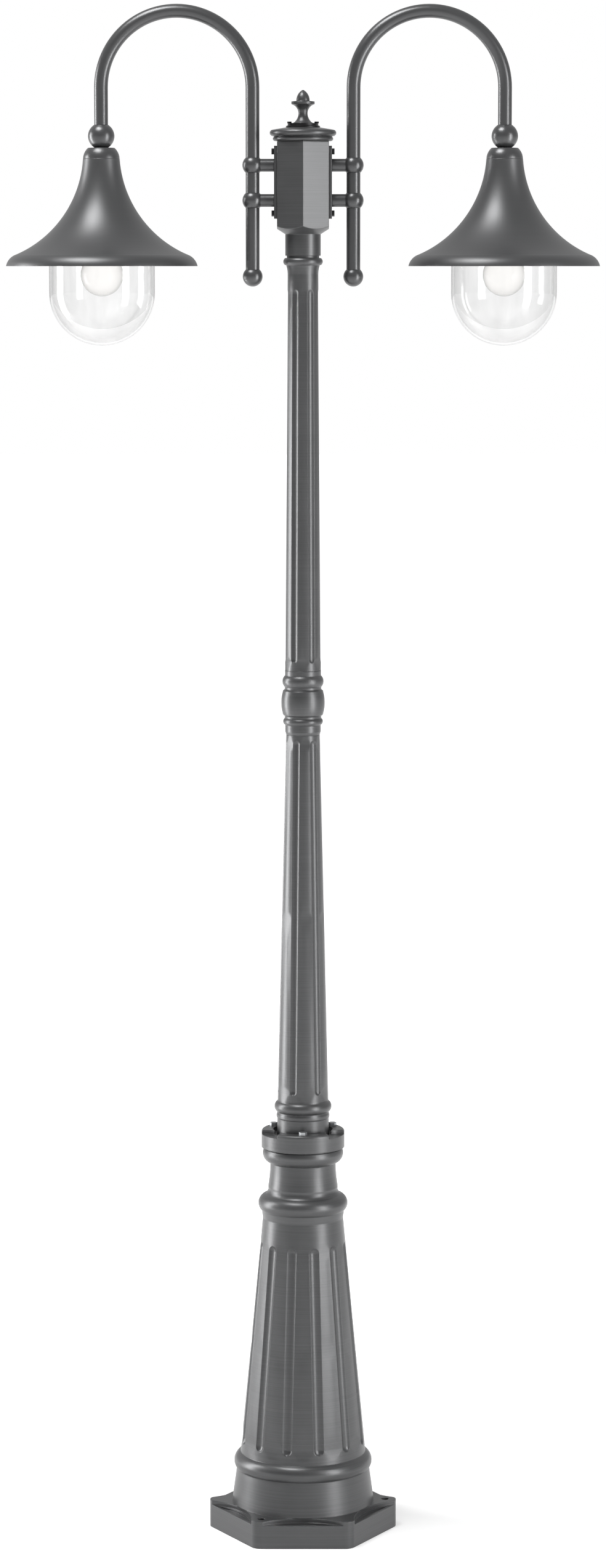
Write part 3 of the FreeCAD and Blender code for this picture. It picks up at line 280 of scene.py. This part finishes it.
def make_shade_paint():
    """Anthracite outside, warm white enamel inside."""
    material = painted("shade_paint", ANTHRACITE, 0.12, 0.38, 0.12, 0.1)
    tree = material.node_tree
    shader = [node for node in tree.nodes if node.type == "BSDF_PRINCIPLED"][0]
    skin = [node for node in tree.nodes if node.type == "GROUP"][0]
    inside = facing_in(tree)
    mix = tree.nodes.new("ShaderNodeMix")
    mix.data_type = "RGBA"
    link(tree, inside, mix.inputs["Factor"])
    link(tree, skin.outputs["Color"], mix.inputs["A"])
    mix.inputs["B"].default_value = ENAMEL
    link(tree, mix.outputs["Result"], shader.inputs["Base Color"])
    metal = calculate(tree, "MULTIPLY", calculate(tree, "SUBTRACT", 1.0, inside), PAINT_METALLIC)
    link(tree, metal, shader.inputs["Metallic"])
    return material


shade_paint = make_shade_paint()
print("shade paint ready")

# %% [markdown]
# ## Small metal, rubber and plastic
# Bolts are blackened steel with a little wear, and the pieces inside the head are zinc, brass,
# nickel, rubber and moulded plastic. Each gets its own colour and gloss with a fine noise.

# %% Small materials


def plain_finish(name, tint, metallic, gloss, mottle, grain, bump=0.15):
    """A finish with a soft mottle and a fine grain."""
    material, tree, shader = blank_material(name)
    skin = use_group(tree, SKIN, tint=(*tint, 1.0), mottle=mottle, gloss=gloss, peel=grain,
                     turning=0.1)
    link(tree, skin.outputs["Color"], shader.inputs["Base Color"])
    link(tree, skin.outputs["Roughness"], shader.inputs["Roughness"])
    shader.inputs["Metallic"].default_value = metallic
    add_bump(tree, shader, skin.outputs["Height"], bump, 0.0003)
    return material


bolt_steel = plain_finish("bolt_steel", (0.02, 0.02, 0.021), 0.7, 0.38, 0.5, 0.6)
zinc_steel = plain_finish("zinc_steel", (0.35, 0.36, 0.37), 1.0, 0.4, 0.3, 0.5)
brass_metal = plain_finish("brass_metal", (0.72, 0.52, 0.25), 1.0, 0.3, 0.2, 0.3)
nickel_cap = plain_finish("nickel_cap", (0.66, 0.65, 0.62), 1.0, 0.28, 0.15, 0.3)
seal_rubber = plain_finish("seal_rubber", (0.03, 0.03, 0.03), 0.0, 0.7, 0.3, 0.8)
cable_rubber = plain_finish("cable_rubber", (0.035, 0.035, 0.036), 0.0, 0.55, 0.2, 0.5)
terminal_plastic = plain_finish("terminal_plastic", (0.66, 0.65, 0.6), 0.0, 0.5, 0.15, 0.5)
holder_plastic = plain_finish("holder_plastic", (0.82, 0.81, 0.77), 0.0, 0.25, 0.08, 0.2)
print("small finishes ready")

# %% [markdown]
# ## Clear glass and the lit bulb
# The globe is blown glass with a real wall, so the light bends where the wall turns away and
# draws a soft grey outline, which a painted shade in the glass's colour darkens further; its
# faint streaks are painted reflections. The bulb is opal and lit: its glass gives light of its
# own, with painted shade a little darker towards its edge, which keeps its round form.

# %% Glass and bulb


def make_globe_glass():
    """Clear glass with painted reflection streaks, painted grey shade at its outline, and a
    slight unevenness from blowing.
    """
    material, tree, shader = blank_material("clear_glass")
    shader.inputs["Transmission Weight"].default_value = 1.0
    shader.inputs["IOR"].default_value = 1.33
    place = tree.nodes.new("ShaderNodeTexCoord").outputs["Object"]
    # Painted reflections: faint vertical streaks that lighten and darken the glass's colour.
    painted_reflection_streaks = noise(tree, stretched(tree, place, (42.0, 42.0, 7.0)), 1.0, 3.0).outputs["Fac"]
    facing = tree.nodes.new("ShaderNodeLayerWeight")
    facing.inputs["Blend"].default_value = 0.5
    # Painted shade: the glass's colour darkens towards its outline, where the wall turns away
    # from the camera.
    edge = calculate(tree, "POWER", facing.outputs["Facing"], 2.4)
    clear = scaled_about(tree, painted_reflection_streaks, 0.5, 0.2, 0.945)
    tint = calculate(tree, "SUBTRACT", clear, calculate(tree, "MULTIPLY", edge, 0.7))
    colour = tree.nodes.new("ShaderNodeCombineColor")
    for channel in ("Red", "Green", "Blue"):
        link(tree, tint, colour.inputs[channel])
    link(tree, colour.outputs["Color"], shader.inputs["Base Color"])
    haze = noise(tree, place, 60.0, 3.0).outputs["Fac"]
    rough = scaled_about(tree, haze, 0.5, 0.02, 0.012)
    link(tree, calculate(tree, "ADD", rough, 0.0, clamp=True), shader.inputs["Roughness"])
    ripple = noise(tree, stretched(tree, place, (9.0, 9.0, 5.0)), 1.0, 1.0).outputs["Fac"]
    add_bump(tree, shader, ripple, 0.2, 0.002)
    return material


def make_bulb_glass():
    """Opal glass, lit from inside, with painted shade that dims its glow towards the rim."""
    material, tree, shader = blank_material("bulb_glass")
    place = tree.nodes.new("ShaderNodeTexCoord").outputs["Object"]
    cloud = noise(tree, place, 40.0, 2.0).outputs["Fac"]
    facing = tree.nodes.new("ShaderNodeLayerWeight")
    facing.inputs["Blend"].default_value = 0.5
    # Painted shade: the glow dims towards the bulb's outline, where the surface turns away from
    # the camera.
    edge = calculate(tree, "POWER", facing.outputs["Facing"], 2.2)
    glow_and_painted_rim_shade = calculate(tree, "SUBTRACT", scaled_about(tree, cloud, 0.5, 0.08, 1.02),
                     calculate(tree, "MULTIPLY", edge, 0.95))
    colour = tree.nodes.new("ShaderNodeVectorMath")
    colour.operation = "SCALE"
    colour.inputs[0].default_value = (1.0, 0.985, 0.965)
    link(tree, glow_and_painted_rim_shade, colour.inputs["Scale"])
    link(tree, colour.outputs["Vector"], shader.inputs["Emission Color"])
    shader.inputs["Emission Strength"].default_value = 1.0
    shader.inputs["Base Color"].default_value = (0.04, 0.04, 0.04, 1.0)
    shader.inputs["Specular IOR Level"].default_value = 0.1
    link(tree, scaled_about(tree, cloud, 0.5, 0.1, 0.25), shader.inputs["Roughness"])
    return material


def make_bulb_core():
    """The stem and its rods: warm and bright."""
    material, tree, shader = blank_material("bulb_core")
    place = tree.nodes.new("ShaderNodeTexCoord").outputs["Object"]
    cloud = noise(tree, place, 120.0, 2.0).outputs["Fac"]
    colour = tree.nodes.new("ShaderNodeVectorMath")
    colour.operation = "SCALE"
    colour.inputs[0].default_value = (1.0, 0.82, 0.55)
    link(tree, scaled_about(tree, cloud, 0.5, 0.3, 1.0), colour.inputs["Scale"])
    link(tree, colour.outputs["Vector"], shader.inputs["Emission Color"])
    link(tree, colour.outputs["Vector"], shader.inputs["Base Color"])
    shader.inputs["Emission Strength"].default_value = 1.5
    return material


FINISHES = {
    "cast_paint": cast_paint, "arm_paint": arm_paint, "shade_paint": shade_paint,
    "bolt_steel": bolt_steel, "zinc_steel": zinc_steel, "brass_metal": brass_metal,
    "nickel_cap": nickel_cap, "seal_rubber": seal_rubber, "cable_rubber": cable_rubber,
    "terminal_plastic": terminal_plastic, "holder_plastic": holder_plastic,
    "clear_glass": make_globe_glass(), "bulb_glass": make_bulb_glass(),
    "bulb_core": make_bulb_core(),
}
print("finishes:", len(FINISHES))

# %% [markdown]
# ## Painting the pieces
# The construction record says which finish each piece has, so one loop paints them all.

# %% Give every piece its finish


def finish_node(name, slot):
    """Put the slot's finish on a ready-made piece, without touching its mesh."""
    piece = nodes[name]
    piece.data.materials.clear()
    piece.data.materials.append(FINISHES[slot])


for part in frame["record"]["subparts"]:
    finish_node(part["node"], part["material_slot"])

# %% [markdown]
# ## The studio
# A pale floor catches the soft shadow of the foot, and a white world stands behind. The camera
# and the glass see that white, shiny metal mirrors it at about half strength, and the world's
# real light on the post is low, so that the dark paint keeps its depth.

# %% Floor and world
FLOOR_HALF = 40.0
FLOOR_LIFT = 0.4
SHADOW_REACH = 0.5
WORLD_LIGHT = 0.2
MIRROR_START, MIRROR_END = -0.35, 0.75
MIRROR_DARK, MIRROR_BRIGHT = 0.1, 0.55


def seen_directly(tree):
    """1 where the camera looks directly, by reflection or through glass, and 0 elsewhere."""
    path = tree.nodes.new("ShaderNodeLightPath")
    total = calculate(tree, "ADD", path.outputs["Is Camera Ray"],
                      path.outputs["Is Transmission Ray"], clamp=True)
    return calculate(tree, "ADD", total, path.outputs["Is Glossy Ray"], clamp=True)


def add_floor():
    """A large pale floor that stays white around the shadow."""
    mesh = bpy.data.meshes.new("floor")
    half = FLOOR_HALF
    mesh.from_pydata([(-half, -half, 0), (half, -half, 0), (half, half, 0), (-half, half, 0)],
                     [], [(0, 1, 2, 3)])
    floor = bpy.data.objects.new("floor", mesh)
    bpy.context.collection.objects.link(floor)
    material, tree, shader = blank_material("floor")
    shader.inputs["Base Color"].default_value = (0.8, 0.8, 0.8, 1.0)
    shader.inputs["Roughness"].default_value = 0.9
    shader.inputs["Specular IOR Level"].default_value = 0.0
    place = tree.nodes.new("ShaderNodeTexCoord").outputs["Object"]
    distance = tree.nodes.new("ShaderNodeVectorMath")
    distance.operation = "LENGTH"
    link(tree, place, distance.inputs[0])
    away = tree.nodes.new("ShaderNodeMapRange")
    away.inputs["From Min"].default_value = SHADOW_REACH
    away.inputs["From Max"].default_value = SHADOW_REACH * 3.0
    away.inputs["To Min"].default_value = FLOOR_LIFT
    away.inputs["To Max"].default_value = 1.0
    link(tree, distance.outputs["Value"], away.inputs["Value"])
    lift = calculate(tree, "MULTIPLY", seen_directly(tree), away.outputs["Result"])
    link(tree, lift, shader.inputs["Emission Strength"])
    shader.inputs["Emission Color"].default_value = (1.0, 1.0, 1.0, 1.0)
    floor.data.materials.append(material)
    return floor


def set_world():
    """White where it is looked at, half as bright where metal mirrors it from behind the
    post, dark where it is mirrored from the front, and a low grey light on all else."""
    world = bpy.data.worlds.new("studio")
    bpy.context.scene.world = world
    world.use_nodes = True
    tree = world.node_tree
    background = tree.nodes["Background"]
    background.inputs["Color"].default_value = (1.0, 1.0, 1.0, 1.0)
    path = tree.nodes.new("ShaderNodeLightPath")
    direction = tree.nodes.new("ShaderNodeSeparateXYZ")
    link(tree, tree.nodes.new("ShaderNodeTexCoord").outputs["Generated"],
         direction.inputs["Vector"])
    backdrop = tree.nodes.new("ShaderNodeMapRange")
    backdrop.interpolation_type = "SMOOTHSTEP"
    backdrop.inputs["From Min"].default_value = MIRROR_START
    backdrop.inputs["From Max"].default_value = MIRROR_END
    backdrop.inputs["To Min"].default_value = MIRROR_DARK
    backdrop.inputs["To Max"].default_value = MIRROR_BRIGHT
    link(tree, direction.outputs["Y"], backdrop.inputs["Value"])
    seen = calculate(tree, "MAXIMUM", path.outputs["Is Camera Ray"],
                     path.outputs["Is Transmission Ray"])
    mirrored = calculate(tree, "MULTIPLY", path.outputs["Is Glossy Ray"],
                         backdrop.outputs["Result"])
    total = calculate(tree, "MAXIMUM", seen, mirrored)
    strength = scaled_about(tree, total, 0.0, 1.0 - WORLD_LIGHT, WORLD_LIGHT)
    link(tree, strength, background.inputs["Strength"])


add_floor()
set_world()
print("floor and world ready")

# %% [markdown]
# ## The lamps
# Three large soft lamps light the post. The key stands at the front right, so the right side of
# every casting is brighter. The edge lamp stands at the left, a little behind, and keeps the left
# outline from going flat. The high lamp draws the soft highlight on the shades.

# %% Lamps


def aim(thing, target):
    """Turn a lamp so that it shines at a point."""
    direction = np.array(target) - np.array(thing.location)
    flat = math.hypot(direction[0], direction[1])
    thing.rotation_euler = (math.atan2(flat, -direction[2]), 0.0,
                            math.atan2(direction[1], direction[0]) - math.pi / 2)


def add_lamp(name, place, target, size, watts):
    """A soft rectangular lamp."""
    data = bpy.data.lights.new(name, "AREA")
    data.shape = "RECTANGLE"
    data.size, data.size_y = size
    data.energy = watts
    lamp = bpy.data.objects.new(name, data)
    lamp.location = place
    bpy.context.collection.objects.link(lamp)
    aim(lamp, target)
    return lamp


MIDDLE = (0.0, 0.0, 1.2)
add_lamp("key", (3.0, -2.2, 1.5), MIDDLE, (1.1, 3.4), 118.0)
add_lamp("edge", (-3.0, 0.6, 1.4), MIDDLE, (0.9, 3.2), 120.0)
add_lamp("high_left", (-1.1, -0.95, 4.9), (0.0, 0.0, 2.1), (1.7, 1.3), 110.0)
print("lamps ready")

# %% [markdown]
# ## Finish
# The view transform is Standard, so a colour shows as it is written.

# %% Finish
bpy.context.scene.view_settings.view_transform = "Standard"
